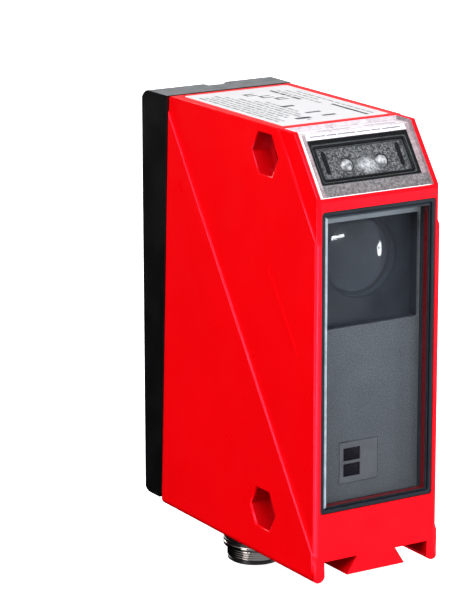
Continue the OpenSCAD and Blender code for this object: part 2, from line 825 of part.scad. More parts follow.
module plug_insert() {
    color([0.12, 0.12, 0.12]) translate([0, plug_y, 0]) difference() {
        translate([0, 0, insert_z]) cylinder(h = plug_top - 0.5 - insert_z, r = plug_bore_r - 0.02);
        for (a = [45:90:315]) rotate(a) translate([plug_pin_r, 0, -5]) cylinder(h = 20, r = pin_r + 0.02);
        translate([0, 0, -5]) cylinder(h = 20, r = pin_r + 0.02);
        translate([0, plug_bore_r, insert_z - 1.6]) cylinder(h = 3.5, r = 0.7);
    }
}

module plug_pins() {
    color("gold") translate([0, plug_y, 0]) {
        for (a = [45:90:315]) rotate(a)
            translate([plug_pin_r, 0, -plug_l + 1.3]) cylinder(h = plug_l + 9, r = pin_r);
        translate([0, 0, -plug_l + 1.3]) cylinder(h = plug_l + 9, r = pin_r);
    }
}

// Five leads from the back of the pins to the main board's lower edge
module plug_leads() {
    starts = concat([for (a = [45:90:315]) plug_pin_r * [cos(a), sin(a)]], [[0, 0]]);
    ends = [for (i = [0:4]) [board_x - board_t - 1.2, 34 + 1.8 * i]];
    order = [2, 3, 4, 1, 0];
    colors = ["saddlebrown", "white", "royalblue", "black", "gray"];
    for (i = [0:4]) {
        a = starts[order[i]];
        b = ends[i];
        color(colors[i]) tube([
            [a[0], plug_y + a[1], 10.35], [a[0], plug_y + a[1], 12],
            [a[0] * 0.75 + b[0] * 0.25, (plug_y + a[1]) * 0.75 + b[1] * 0.25, 14 + 0.4 * i],
            [a[0] * 0.3 + b[0] * 0.7, (plug_y + a[1]) * 0.3 + b[1] * 0.7, 16.2 + 0.2 * i],
            [b[0], b[1], 18], [b[0], b[1], 20.2]], 0.45);
    }
}

housing();
window_frame();
front_glass();
mask_panel();
aperture_insert();
receiver_lens();
lens_ring();
optics_carrier();
carrier_screws();
emitter_barrel();
collimator_lens();
laser_diode();
light_filter();
receiver_chip();
receiver_board();
indicator_window();
indicator_gasket();
indicator_plate();
power_lamp();
signal_lamp();
indicator_board();
type_label();
main_board();
board_chips();
board_capacitors();
board_sockets();
panel_gasket();
control_panel();
panel_screws();
display_window();
display_module();
display_board();
key_switches();
display_screws();
ribbon_cable();
hinge_pin();
plug_collar();
plug_shell();
plug_seal();
plug_nut();
plug_insert();
plug_pins();
plug_leads();
rear_cover();
key_up();
key_down();
key_enter();
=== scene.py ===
"""Looks of the photoelectric distance sensor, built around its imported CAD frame."""
import bpy
import bmesh
import math
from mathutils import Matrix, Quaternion, Vector


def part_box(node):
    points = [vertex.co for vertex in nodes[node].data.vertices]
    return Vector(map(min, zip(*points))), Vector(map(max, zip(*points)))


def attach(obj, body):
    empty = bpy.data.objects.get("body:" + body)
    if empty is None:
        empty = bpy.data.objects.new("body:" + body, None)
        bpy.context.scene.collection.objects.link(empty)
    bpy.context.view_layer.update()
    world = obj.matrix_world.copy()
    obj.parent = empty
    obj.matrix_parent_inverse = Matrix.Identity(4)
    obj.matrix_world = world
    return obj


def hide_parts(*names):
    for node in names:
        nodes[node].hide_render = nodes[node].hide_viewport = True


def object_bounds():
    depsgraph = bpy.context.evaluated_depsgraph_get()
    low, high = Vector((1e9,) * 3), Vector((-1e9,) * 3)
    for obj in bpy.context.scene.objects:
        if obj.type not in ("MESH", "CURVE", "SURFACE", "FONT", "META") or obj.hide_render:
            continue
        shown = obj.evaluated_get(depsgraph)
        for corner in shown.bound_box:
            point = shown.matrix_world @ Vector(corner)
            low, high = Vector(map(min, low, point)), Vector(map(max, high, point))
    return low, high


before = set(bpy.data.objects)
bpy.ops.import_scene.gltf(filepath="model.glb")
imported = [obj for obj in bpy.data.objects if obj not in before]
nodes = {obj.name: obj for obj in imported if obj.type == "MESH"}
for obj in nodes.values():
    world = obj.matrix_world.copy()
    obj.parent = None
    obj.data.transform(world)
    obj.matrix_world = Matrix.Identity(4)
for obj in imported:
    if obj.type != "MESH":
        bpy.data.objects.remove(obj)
cad_low, cad_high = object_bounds()
MM = 0.001

# Places of the CAD in mm: the housing's top, the plane where the rear cover parts from it, the nut
# pockets and the sloping face of the indicator.
TOP = 90
PARTING_Y = 60.2
PARTING_LEAN = 3.7
POCKET_Y = 19
POCKET_Z = (10, 84)
SLOPE_RISE = 12.6
SLOPE_DEPTH = 9.0


# Camera -------------------------------------------------------------------------------------

def make_camera():
    """A long lens that sees the sensor's front, left side and top."""
    place = Vector((-0.314596, -0.459118, 0.199017))
    target = Vector((-0.010269, 0.037783, 0.049981))
    roll = -0.00167
    data = bpy.data.cameras.new("camera")
    data.sensor_width = 36
    data.lens = 175.37
    data.clip_start = 0.01
    data.clip_end = 50
    cam = bpy.data.objects.new("camera", data)
    bpy.context.scene.collection.objects.link(cam)
    cam.location = place
    cam.rotation_mode = "QUATERNION"
    cam.rotation_quaternion = (target - place).to_track_quat("-Z", "Y") @ Quaternion((0, 0, 1), roll)
    bpy.context.scene.camera = cam


make_camera()


# Node helpers -------------------------------------------------------------------------------

class Tree:
    """A material's node tree, with short ways to add nodes to it."""

    def __init__(self, name):
        self.mat = bpy.data.materials.new(name)
        self.mat.use_nodes = True
        self.t = self.mat.node_tree
        self.t.nodes.clear()
        self.out = self.t.nodes.new("ShaderNodeOutputMaterial")
        self.place = self.t.nodes.new("ShaderNodeTexCoord").outputs["Object"]

    def node(self, kind, **values):
        n = self.t.nodes.new("ShaderNode" + kind)
        for key, v in values.items():
            setattr(n, key, v)
        return n

    def link(self, a, b):
        self.t.links.new(a, b)

    def stretched(self, scale):
        """Object coordinates stretched by a scale along each axis."""
        m = self.node("Mapping")
        m.inputs["Scale"].default_value = scale
        self.link(self.place, m.inputs["Vector"])
        return m.outputs[0]

    def noise(self, size, detail=3.0, rough=0.55, stretch=None):
        """Noise whose features are about size mm across."""
        n = self.node("TexNoise")
        n.inputs["Scale"].default_value = 1 / (size * MM)
        n.inputs["Detail"].default_value = detail
        n.inputs["Roughness"].default_value = rough
        self.link(self.place if stretch is None else self.stretched(stretch), n.inputs["Vector"])
        return n.outputs["Fac"]

    def ramp(self, fac, stops):
        """A colour ramp from pairs of place and colour."""
        r = self.node("ValToRGB")
        e = r.color_ramp.elements
        while len(e) < len(stops):
            e.new(0.5)
        for s, (at, c) in zip(e, stops):
            s.position = at
            s.color = (*c, 1)
        self.link(fac, r.inputs["Fac"])
        return r.outputs["Color"]

    def span(self, fac, lo, hi, from_lo=0.3, from_hi=0.7):
        """The value run from lo to hi, clamped, as fac goes from from_lo to from_hi."""
        m = self.node("MapRange")
        for key, v in (("From Min", from_lo), ("From Max", from_hi), ("To Min", lo), ("To Max", hi)):
            m.inputs[key].default_value = v
        self.link(fac, m.inputs["Value"])
        return m.outputs["Result"]

    def mix(self, fac, a, b):
        """Colour a turning into colour b as fac goes from 0 to 1."""
        m = self.node("Mix", data_type="RGBA")
        for socket, v in ((m.inputs[0], fac), (m.inputs[6], a), (m.inputs[7], b)):
            if isinstance(v, bpy.types.NodeSocket):
                self.link(v, socket)
            elif isinstance(v, (int, float)):
                socket.default_value = v
            else:
                socket.default_value = (*v, 1)
        return m.outputs[2]

    def maths(self, kind, a, b):
        """One sum, such as MULTIPLY, of two numbers or sockets."""
        m = self.node("Math", operation=kind)
        for socket, v in zip(m.inputs, (a, b)):
            if isinstance(v, bpy.types.NodeSocket):
                self.link(v, socket)
            else:
                socket.default_value = v
        return m.outputs[0]

    def axes(self, place=None):
        """The X, Y and Z of a place or direction, of the object coordinates by default."""
        split = self.node("SeparateXYZ")
        self.link(place or self.place, split.inputs[0])
        return split.outputs

    def bump(self, height, depth, strength, normal=None):
        """The normal bent by a height that runs over depth mm, on top of another normal if given."""
        b = self.node("Bump")
        b.inputs["Strength"].default_value = strength
        b.inputs["Distance"].default_value = depth * MM
        self.link(height, b.inputs["Height"])
        if normal is not None:
            self.link(normal, b.inputs["Normal"])
        return b.outputs["Normal"]

    def shader(self, **values):
        """The Principled shader. A value may be a number, a colour or a socket."""
        p = self.node("BsdfPrincipled")
        for key, v in values.items():
            socket = p.inputs[key.replace("_", " ")]
            if isinstance(v, bpy.types.NodeSocket):
                self.link(v, socket)
            elif socket.type == "RGBA":
                socket.default_value = (*v, 1)
            else:
                socket.default_value = v
        return p

    def done(self, surface):
        """The material, with this shader as its surface."""
        self.link(surface.outputs[0], self.out.inputs["Surface"])
        return self.mat


def tinted(t, base, amount, size, detail=4.0):
    """The base colour, darker and lighter by amount in soft patches."""
    dark = tuple(c * (1 - amount) for c in base)
    light = tuple(min(c * (1 + amount), 1) for c in base)
    return t.ramp(t.noise(size, detail), [(0.32, dark), (0.5, base), (0.68, light)])


def plastic(name, base, rough, amount, patch, grain, depth, sheen):
    """Moulded plastic. Its colour varies by amount in soft patches, its gloss is uneven, and it has a
    fine moulded grain. The sizes of patch, grain and grain depth are in mm."""
    t = Tree(name)
    gloss = t.span(t.noise(patch * 0.6, 5), rough - 0.07, rough + 0.09)
    normal = t.bump(t.noise(grain, 2.0, 0.6), depth, 0.35)
    return t.done(t.shader(Base_Color=tinted(t, base, amount, patch), Roughness=gloss,
                           Specular_IOR_Level=sheen, Normal=normal))


def metal(name, base, rough, scale=(1, 1, 6)):
    """Bare or plated metal with fine tool marks, which lie across the axis of the largest scale."""
    t = Tree(name)
    patch = 4
    marks = t.noise(0.25, 3, 0.6, scale)
    gloss = t.span(t.noise(patch, 4), rough - 0.06, rough + 0.08)
    return t.done(t.shader(Base_Color=tinted(t, base, 0.08, patch), Metallic=1.0, Roughness=gloss,
                           Normal=t.bump(marks, 0.006, 0.4)))


def clear(name, tint, rough, ior, haze=0.0, gloss=1.0):
    """A clear pane: what is behind shows through it, and its outside reflects more at low angles.
    Haze is the part of it that is dusty."""
    t = Tree(name)
    through = t.node("BsdfTransparent")
    through.inputs["Color"].default_value = (*tint, 1)
    shine = t.node("BsdfGlossy")
    shine.inputs["Color"].default_value = (gloss, gloss, gloss, 1)
    shine.inputs["Roughness"].default_value = rough
    fresnel = t.node("Fresnel")
    fresnel.inputs["IOR"].default_value = ior
    outside = t.maths("SUBTRACT", 1.0, t.node("NewGeometry").outputs["Backfacing"])
    mix = t.node("MixShader")
    t.link(t.maths("MULTIPLY", fresnel.outputs[0], outside), mix.inputs[0])
    t.link(through.outputs[0], mix.inputs[1])
    t.link(shine.outputs[0], mix.inputs[2])
    last = mix
    if haze:
        dust = t.node("BsdfDiffuse")
        dust.inputs["Color"].default_value = (0.78, 0.82, 0.90, 1)
        last = t.node("MixShader")
        t.link(t.span(t.noise(5, 3), haze * 0.75, haze), last.inputs[0])
        t.link(mix.outputs[0], last.inputs[1])
        t.link(dust.outputs[0], last.inputs[2])
    return t.done(last)


# Materials ----------------------------------------------------------------------------------

def red_paint(name="red_paint", shade=1.0):
    """Bright red stove enamel with a slight orange peel and a pink sheen. A shade below 1 gives a darker
    copy, used as painted shade in hollows.
    """
    t = Tree(name)
    base = tinted(t, (0.83 * shade, 0.0004 * shade, 0.0022 * shade), 0.03, 26, 3)
    peel = t.noise(0.9, 3, 0.5)
    fine = t.noise(0.16, 2, 0.5)
    normal = t.bump(fine, 0.003, 0.2, t.bump(peel, 0.008, 0.3))
    gloss = t.span(t.noise(7, 5), 0.27, 0.36)
    return t.done(t.shader(Base_Color=base, Roughness=gloss, Specular_IOR_Level=0.33,
                           Specular_Tint=(1.0, 0.45, 0.95), Normal=normal))


def mask_grey():
    """Fine-grained grey plastic, darker towards its foot, with painted light along its upper edge."""
    t = Tree("mask_grey")
    middle = (0.125, 0.134, 0.145)
    speck = t.ramp(t.noise(0.35, 3, 0.75), [(0.36, (0.060, 0.064, 0.070)), (0.5, middle),
                                            (0.64, (0.200, 0.212, 0.225))])
    base = t.mix(0.4, speck, tinted(t, middle, 0.2, 7))
    height = t.axes()["Z"]
    # Painted light: the strip along the panel's upper edge is mixed towards a pale grey.
    painted_light_edge = t.span(height, 0.0, 0.85, 70 * MM, 72.2 * MM)
    base = t.mix(painted_light_edge, base, (0.46, 0.50, 0.53))
    dark_foot = t.span(height, 0.54, 0.36, 18 * MM, 46 * MM)
    base = t.mix(dark_foot, base, (0.02, 0.021, 0.023))
    return t.done(t.shader(Base_Color=base, Roughness=0.75, Specular_IOR_Level=0.2,
                           Normal=t.bump(t.noise(0.2, 2), 0.02, 0.5)))


def speckled(name, dark, light, size, rough, depth, sheen):
    """Frosted or rough plastic with light and dark specks of about size mm."""
    t = Tree(name)
    fac = t.noise(size, 3, 0.75)
    middle = tuple((a + b) / 2 for a, b in zip(dark, light))
    base = t.ramp(fac, [(0.36, dark), (0.52, middle), (0.66, light)])
    base = t.mix(0.35, base, tinted(t, middle, 0.3, 2.5))
    return t.done(t.shader(Base_Color=base, Roughness=t.span(t.noise(1.2, 3), rough - 0.1, rough + 0.1),
                           Specular_IOR_Level=sheen, Normal=t.bump(fac, depth, 0.5)))


def plate_grey():
    """The indicator's grey plate, with painted light, a pale glow, between and around its two lamps."""
    t = Tree("plate_grey")
    base = t.ramp(t.noise(0.45, 3, 0.8), [(0.40, (0.012, 0.013, 0.014)), (0.50, (0.055, 0.057, 0.060)),
                                          (0.60, (0.19, 0.195, 0.20))])
    between_lamps = Vector((1.0, 5.7, 82.6)) * MM
    falloff = (330, 560, 560)
    m = t.node("Mapping")
    m.inputs["Location"].default_value = -between_lamps
    t.link(t.place, m.inputs["Vector"])
    scale = t.node("VectorMath", operation="MULTIPLY")
    scale.inputs[1].default_value = falloff
    t.link(m.outputs[0], scale.inputs[0])
    away = t.node("VectorMath", operation="LENGTH")
    t.link(scale.outputs[0], away.inputs[0])
    # Painted light: a pale glow mixed into the plate's colour around the point between the lamps.
    glow = t.span(away.outputs["Value"], 0.9, 0.0, 0.35, 1.1)
    glow = t.maths("MULTIPLY", glow, t.span(t.noise(0.8, 2, 0.7), 0.0, 1.5))
    base = t.mix(glow, base, (0.46, 0.47, 0.48))
    return t.done(t.shader(Base_Color=base, Roughness=0.5, Specular_IOR_Level=0.35,
                           Normal=t.bump(t.noise(0.25, 3, 0.7), 0.03, 0.5)))


def lamp_dome():
    """A frosted lamp dome in uneven greys."""
    t = Tree("lamp_dome")
    base = t.ramp(t.noise(0.9, 3, 0.6), [(0.40, (0.13, 0.135, 0.14)), (0.5, (0.26, 0.265, 0.27)),
                                         (0.60, (0.46, 0.46, 0.47))])
    return t.done(t.shader(Base_Color=base, Roughness=0.28, Specular_IOR_Level=0.6,
                           Normal=t.bump(t.noise(0.5, 3), 0.02, 0.4)))


def cover_black():
    """Black moulded plastic whose upper face is painted a lighter matte grey as painted sheen, and whose
    rear is a little paler.
    """
    t = Tree("cover_black")
    facing = t.axes(t.node("TexCoord").outputs["Normal"])
    # Painted sheen: faces turned upwards take a lighter grey, in patches.
    painted_top_sheen = t.span(facing["Z"], 0.0, 1.0, 0.55, 0.98)
    painted_top_sheen = t.maths("MULTIPLY", painted_top_sheen, t.span(t.noise(2.5, 4), 0.6, 1.2))
    base = tinted(t, (0.0011, 0.0010, 0.0014), 0.3, 14)
    base = t.mix(painted_top_sheen, base, (0.17, 0.178, 0.184))
    rear = t.span(facing["Y"], 0.0, 1.0, 0.6, 0.98)
    base = t.mix(rear, base, (0.013, 0.013, 0.0145))
    return t.done(t.shader(Base_Color=base, Roughness=t.span(t.noise(8, 5), 0.30, 0.42),
                           Specular_IOR_Level=0.5, Normal=t.bump(t.noise(0.28, 2, 0.6), 0.008, 0.35)))


# Plastic: colour, roughness, how much and over what size the colour varies, the grain's size and depth,
# and the sheen. Speckled: dark and light colour, the specks' size, roughness, grain depth and sheen.
RED = red_paint()
# Darker copies of the red paint as painted shade: one for the nut pockets and foot grooves, and a darker
# one still for the window recess.
RED_POCKET_SHADE = red_paint("red_paint_pocket_shade", 0.52)
RED_RECESS_SHADE = red_paint("red_paint_recess_shade", 0.17)
COVER = cover_black()
FRAME = plastic("frame_plastic", (0.007, 0.010, 0.015), 0.42, 0.15, 6, 0.3, 0.01, 0.25)
OPTICS = plastic("optics_black", (0.019, 0.022, 0.029), 0.55, 0.2, 5, 0.3, 0.015, 0.35)
MASK = mask_grey()
APERTURE = plastic("aperture_grey", (0.082, 0.083, 0.090), 0.6, 0.1, 3, 0.25, 0.01, 0.3)
DARK = plastic("aperture_dark", (0.004, 0.0025, 0.006), 0.5, 0.2, 3, 0.3, 0.01, 0.08)
BRASS = metal("barrel_brass", (0.78, 0.55, 0.25), 0.3)
STEEL = metal("steel", (0.62, 0.61, 0.59), 0.3)
NICKEL = metal("nickel", (0.46, 0.41, 0.38), 0.14, (1, 1, 8))
GOLD = metal("gold_plate", (0.95, 0.66, 0.28), 0.25)
RUBBER = plastic("seal_rubber", (0.004, 0.0045, 0.005), 0.5, 0.2, 3, 0.2, 0.01, 0.2)
# Painted light: a paler copy of the seal rubber for the gasket's groove.
RUBBER_PAINTED_LIGHT = plastic("seal_groove_painted_light", (0.09, 0.10, 0.10), 0.55, 0.3, 1, 0.2, 0.01, 0.4)
PLATE = plate_grey()
PANEL = plastic("panel_black", (0.014, 0.014, 0.016), 0.5, 0.2, 10, 0.3, 0.015, 0.4)
KEY = plastic("key_grey", (0.15, 0.155, 0.16), 0.6, 0.1, 5, 0.25, 0.02, 0.35)
KEY_MARK = plastic("key_mark", (0.72, 0.73, 0.74), 0.5, 0.08, 2, 0.25, 0.01, 0.35)
PLUG_BLACK = plastic("plug_black", (0.006, 0.006, 0.007), 0.35, 0.2, 4, 0.3, 0.008, 0.5)
BOARD = plastic("board_green", (0.012, 0.085, 0.03), 0.35, 0.25, 2.0, 0.5, 0.02, 0.5)
CHIP = plastic("chip_black", (0.02, 0.02, 0.022), 0.55, 0.15, 2, 0.15, 0.01, 0.4)
CAPACITOR = plastic("capacitor_tan", (0.45, 0.28, 0.10), 0.4, 0.2, 2, 0.2, 0.01, 0.5)
IVORY = plastic("socket_ivory", (0.62, 0.56, 0.42), 0.45, 0.1, 3, 0.3, 0.01, 0.5)
RIBBON = plastic("ribbon_tan", (0.42, 0.20, 0.05), 0.35, 0.15, 2, 0.4, 0.01, 0.5)
WIRE = plastic("lead_wire", (0.05, 0.08, 0.16), 0.4, 0.6, 3, 0.4, 0.01, 0.5)
DISPLAY = plastic("display_module", (0.03, 0.045, 0.04), 0.3, 0.2, 3, 0.3, 0.01, 0.5)
SCREEN = plastic("display_window", (0.003, 0.0035, 0.005), 0.07, 0.2, 8, 0.6, 0.001, 0.6)
FILTER = plastic("filter_glass", (0.05, 0.002, 0.004), 0.08, 0.2, 4, 0.5, 0.002, 0.6)
LENS = clear("receiver_lens", (0.80, 0.84, 0.90), 0.09, 1.5, 0.045, gloss=0.95)
COLLIMATOR = clear("collimator_lens", (0.16, 0.12, 0.20), 0.02, 1.5, 0.02, gloss=0.3)
PANE = clear("front_pane", (0.94, 0.955, 0.965), 0.02, 1.5, gloss=0.30)
# Lit and shaded copies of the ground glass edge: painted highlight and painted shade.
GLASS_EDGE_HIGHLIGHT = speckled("glass_edge_highlight", (0.25, 0.31, 0.37), (0.46, 0.52, 0.58), 1.5, 0.35, 0.004, 0.5)
GLASS_EDGE_SHADE = plastic("glass_edge_shade", (0.022, 0.028, 0.036), 0.35, 0.2, 3, 0.2, 0.005, 0.5)
CLEAR_WINDOW = clear("clear_window", (0.96, 0.965, 0.97), 0.05, 1.45, gloss=0.12)
FROST_WHITE = speckled("frost_white", (0.60, 0.53, 0.565), (0.88, 0.82, 0.85), 0.9, 0.3, 0.01, 0.5)
# Painted highlight: the bright finish for the indicator border's left and lower rim.
FROST_EDGE_HIGHLIGHT = plastic("frost_edge_highlight", (0.90, 0.88, 0.89), 0.25, 0.05, 3, 0.3, 0.004, 0.6)
FROST_GREY = speckled("frost_grey", (0.03, 0.028, 0.03), (0.26, 0.245, 0.25), 0.5, 0.4, 0.02, 0.2)
FROST_PINK = speckled("frost_pink", (0.16, 0.11, 0.12), (0.42, 0.34, 0.36), 0.7, 0.4, 0.01, 0.4)
FROST_DASH = plastic("frost_dash", (0.20, 0.19, 0.21), 0.4, 0.3, 1, 0.3, 0.01, 0.4)
LAMP = lamp_dome()
LABEL = plastic("label_film", (0.63, 0.62, 0.63), 0.5, 0.03, 6, 0.4, 0.004, 0.15)
LABEL_PRINT = plastic("label_print", (0.27, 0.285, 0.28), 0.5, 0.25, 1.2, 0.4, 0.002, 0.15)
LABEL_BOLD = plastic("label_bold", (0.075, 0.08, 0.08), 0.5, 0.3, 1.0, 0.4, 0.002, 0.15)


# Mesh helpers -------------------------------------------------------------------------------

def add(name, bm, mats, body="sensor_body", replaces=(), smooth=32):
    """A new piece from a bmesh, riding on a body. Edges that bend by less than smooth degrees look soft."""
    me = bpy.data.meshes.new(name)
    bm.normal_update()
    bm.to_mesh(me)
    bm.free()
    for m in mats if isinstance(mats, (list, tuple)) else [mats]:
        me.materials.append(m)
    me.shade_smooth()
    me.set_sharp_from_angle(angle=math.radians(smooth))
    o = bpy.data.objects.new(name, me)
    bpy.context.scene.collection.objects.link(o)
    if replaces:
        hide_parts(*replaces)
    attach(o, body)
    return o


def paint(mat, *names):
    """A new finish for CAD nodes whose shape stays."""
    for n in names:
        me = nodes[n].data
        me.materials.clear()
        me.materials.append(mat)


def solid_of(node):
    """The CAD node's shape as a bmesh with its flat faces whole again."""
    bm = bmesh.new()
    bm.from_mesh(nodes[node].data)
    bmesh.ops.remove_doubles(bm, verts=bm.verts, dist=2e-6)
    bmesh.ops.dissolve_limit(bm, angle_limit=math.radians(0.4), verts=bm.verts, edges=bm.edges)
    return bm


def round_edges(bm, width, segments=2, angle=35, where=None, clamp=True):
    """Rounds the edges that bend by more than angle degrees, by width mm."""
    edges = [e for e in bm.edges if len(e.link_faces) == 2 and e.calc_face_angle(0) > math.radians(angle)
             and (where is None or where(e))]
    if edges:
        bmesh.ops.bevel(bm, geom=edges, offset=width * MM, offset_type="OFFSET", segments=segments,
                        profile=0.5, affect="EDGES", clamp_overlap=clamp, miter_outer="ARC",
                        loop_slide=True)
    return bm


def weighted(o):
    """Keeps the flat faces of a rounded piece flat in its shading."""
    m = o.modifiers.new("weighted", "WEIGHTED_NORMAL")
    m.keep_sharp = True
    m.weight = 80


def rounded(node, mat, width, segments=2, angle=35, body="sensor_body", where=None):
    """A copy of a CAD node with soft edges, which stands for it."""
    bm = round_edges(solid_of(node), width, segments, angle, where)
    weighted(add(node + "_shape", bm, mat, body, (node,), 40))


def is_long(e, least=1.5):
    """Whether an edge is longer than least mm."""
    return e.calc_length() > least * MM


def quad(bm, points, index=0):
    """A face of four corners, with the index of its finish."""
    bm.faces.new([bm.verts.new(p) for p in points]).material_index = index


def band(bm, a, b, index=0):
    """The strip of faces between two closed rings of corners."""
    for i in range(len(a)):
        j = (i + 1) % len(a)
        bm.faces.new((a[i], a[j], b[j], b[i])).material_index = index


# Housing ------------------------------------------------------------------------------------

def near_pocket(p):
    """Whether a point lies in one of the four nut pockets."""
    reach = 5.3 * MM
    return any(math.hypot(p.y - POCKET_Y * MM, p.z - z * MM) < reach for z in POCKET_Z)


def is_pocket_mouth(e):
    """Whether an edge is on the rim of a nut pocket."""
    side = 14.8 * MM
    return e.is_convex and is_long(e, 3) and all(near_pocket(v.co) and abs(v.co.x) > side for v in e.verts)


def is_rear_rim(e):
    """Whether an edge is one of the housing's upright edges along the rear cover."""
    def at_parting(p):
        y = (PARTING_Y - PARTING_LEAN * p.z / (TOP * MM)) * MM
        return abs(p.y - y) < 0.05 * MM and abs(p.x) > 14.3 * MM

    return all(at_parting(v.co) for v in e.verts) and is_long(e, 5)


def housing_shape():
    """The housing with soft rims, and painted shade in its nut pockets, foot grooves and window recess, as
    darker copies of the red paint.
    """
    bm = solid_of("housing")
    round_edges(bm, 0.8, 4, where=is_rear_rim, clamp=False)
    round_edges(bm, 0.45, 3, where=is_pocket_mouth, clamp=False)
    round_edges(bm, 0.2, 3, clamp=False, where=lambda e: e.is_convex and is_long(e) and not is_rear_rim(e)
                and not is_pocket_mouth(e))
    bm.normal_update()
    for f in bm.faces:
        c = f.calc_center_median() / MM
        inside = abs(c.x) < 13 or abs(c.x) < 14.75 and abs(f.normal.x) < 0.95
        pocket = near_pocket(c * MM) and inside
        groove = (4.9 < abs(c.x) < 12.6 and 0.05 < abs(c.z) and c.z < 3.75 and c.y < 38.2
                  and abs(f.normal.y) < 0.9)
        recess = abs(c.x) < 14.2 and 0.3 < c.y < 40 and 11 < c.z < 76.5
        # Painted shade: pocket and groove faces take the darker red, and the window recess's faces the
        # darkest.
        if pocket or groove:
            f.material_index = 1
        elif recess:
            f.material_index = 2
    finishes = [RED, RED_POCKET_SHADE, RED_RECESS_SHADE]
    weighted(add("housing_shape", bm, finishes, "sensor_body", ("housing",), 40))


def side_ribs():
    """A faint moulded line on each side, in front of the middle, drawn as two very low ribs."""
    bm = bmesh.new()
    width, foot, crest = 0.15, 14.82, 14.935
    for side in (-1, 1):
        for shift in (0, 1.5):
            ends = [Vector((0, 6.6 + shift * 0.4, 45.5 + shift)), Vector((0, 17.6, 60.2 + shift * 0.75))]
            along = (ends[1] - ends[0]).normalized()
            over = Vector((0, -along.z, along.y))
            a = [bm.verts.new((e + over * w + Vector((side * x, 0, 0))) * MM)
                 for e in ends for w, x in ((-width, foot), (0, crest), (width, foot))]
            for corners in ((0, 1, 4, 3), (1, 2, 5, 4), (0, 2, 1), (3, 4, 5), (0, 3, 5, 2)):
                bm.faces.new([a[i] for i in corners])
    bmesh.ops.recalc_face_normals(bm, faces=bm.faces)
    add("side_ribs", bm, RED, smooth=80)


def is_cover_outside(e):
    """Whether an edge of the rear cover lies on its outside."""
    return all(abs(v.co.x) > 13.9 * MM or v.co.y > 66.4 * MM or v.co.z > 89.5 * MM for v in e.verts)


housing_shape()
side_ribs()
rounded("rear_cover", COVER, 0.4, 4, body="cover",
        where=lambda e: e.is_convex and is_long(e, 3) and is_cover_outside(e))


# Front window -------------------------------------------------------------------------------

def front_pane():
    """The glass with its ground chamfer all round, with a painted highlight on the left chamfer and painted
    shade on the others.
    """
    lo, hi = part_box("front_glass")
    bm = bmesh.new()
    chamfer, depth, rear_chamfer = 0.5 * MM, 0.4 * MM, 0.3 * MM
    rings = []
    for y, inset in ((lo.y, chamfer), (lo.y + depth, 0), (hi.y, 0), (hi.y, rear_chamfer)):
        x0, x1, z0, z1 = lo.x + inset, hi.x - inset, lo.z + inset, hi.z - inset
        rings.append([bm.verts.new((x, y, z)) for x, z in ((x0, z0), (x1, z0), (x1, z1), (x0, z1))])
    left = 3
    for a, b in zip(rings, rings[1:]):
        for i in range(4):
            f = bm.faces.new((a[i], b[i], b[(i + 1) % 4], a[(i + 1) % 4]))
            # The left chamfer takes the painted highlight and the rest the painted shade.
            f.material_index = 1 if i == left else 2
    bm.faces.new(rings[0])
    bm.faces.new(rings[-1][::-1])
    bmesh.ops.recalc_face_normals(bm, faces=bm.faces)
    add("front_pane", bm, [PANE, GLASS_EDGE_HIGHLIGHT, GLASS_EDGE_SHADE],
        replaces=("front_glass",), smooth=20)


def aperture_panes():
    """The two dark filter panes set into the insert's windows."""
    size = (3.98, 0.5, 2.68)
    bm = bmesh.new()
    for z in (20.8, 24.1):
        middle = (-3.8, 3.95, z)
        for v in bmesh.ops.create_cube(bm, size=1)["verts"]:
            v.co = Vector(m + c * w for m, c, w in zip(middle, v.co, size)) * MM
    round_edges(bm, 0.08)
    add("aperture_panes", bm, DARK)


def lens_shape():
    """The receiver's lens, turned: a domed front, a cylindrical edge and a flat back."""
    lo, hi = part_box("receiver_lens")
    mid, radius, sag = (lo + hi) / 2, (hi.x - lo.x) / 2, 2.0 * MM
    ball = (radius ** 2 + sag ** 2) / (2 * sag)
    steps, turns, chamfer = 24, 96, 0.1 * MM
    profile = []
    for i in range(1, steps + 1):
        r = radius * i / steps
        profile.append((r, lo.y + ball - math.sqrt(ball ** 2 - r ** 2)))
    profile += [(radius, hi.y - chamfer), (radius - chamfer, hi.y)]
    angles = [2 * math.pi * k / turns for k in range(turns)]
    bm = bmesh.new()
    front = bm.verts.new((mid.x, lo.y, mid.z))
    back = bm.verts.new((mid.x, hi.y, mid.z))
    rings = [[bm.verts.new((mid.x + r * math.cos(a), y, mid.z + r * math.sin(a))) for a in angles]
             for r, y in profile]
    for k in range(turns):
        j = (k + 1) % turns
        bm.faces.new((front, rings[0][k], rings[0][j]))
        bm.faces.new((back, rings[-1][j], rings[-1][k]))
        for a, b in zip(rings, rings[1:]):
            bm.faces.new((a[k], b[k], b[j], a[j]))
    bmesh.ops.recalc_face_normals(bm, faces=bm.faces)
    add("receiver_lens_shape", bm, LENS, replaces=("receiver_lens",), smooth=40)


rounded("window_frame", FRAME, 0.15)
front_pane()
rounded("mask_panel", MASK, 0.12)
rounded("aperture_insert", APERTURE, 0.1)
aperture_panes()
lens_shape()


# Inner parts --------------------------------------------------------------------------------

paint(OPTICS, "optics_carrier", "lens_ring")
paint(BRASS, "emitter_barrel")
paint(COLLIMATOR, "collimator_lens")
paint(FILTER, "light_filter")
paint(CHIP, "receiver_chip", "board_chips", "key_switches")
paint(BOARD, "receiver_board", "indicator_board", "main_board", "display_board")
paint(STEEL, "carrier_screws", "panel_screws", "display_screws", "hinge_pin")
paint(GOLD, "laser_diode", "plug_pins")
paint(RUBBER, "panel_gasket", "plug_seal")
paint(CAPACITOR, "board_capacitors")
paint(IVORY, "board_sockets")
paint(RIBBON, "ribbon_cable")
paint(WIRE, "plug_leads")
paint(DISPLAY, "display_module")


# Indicator ----------------------------------------------------------------------------------

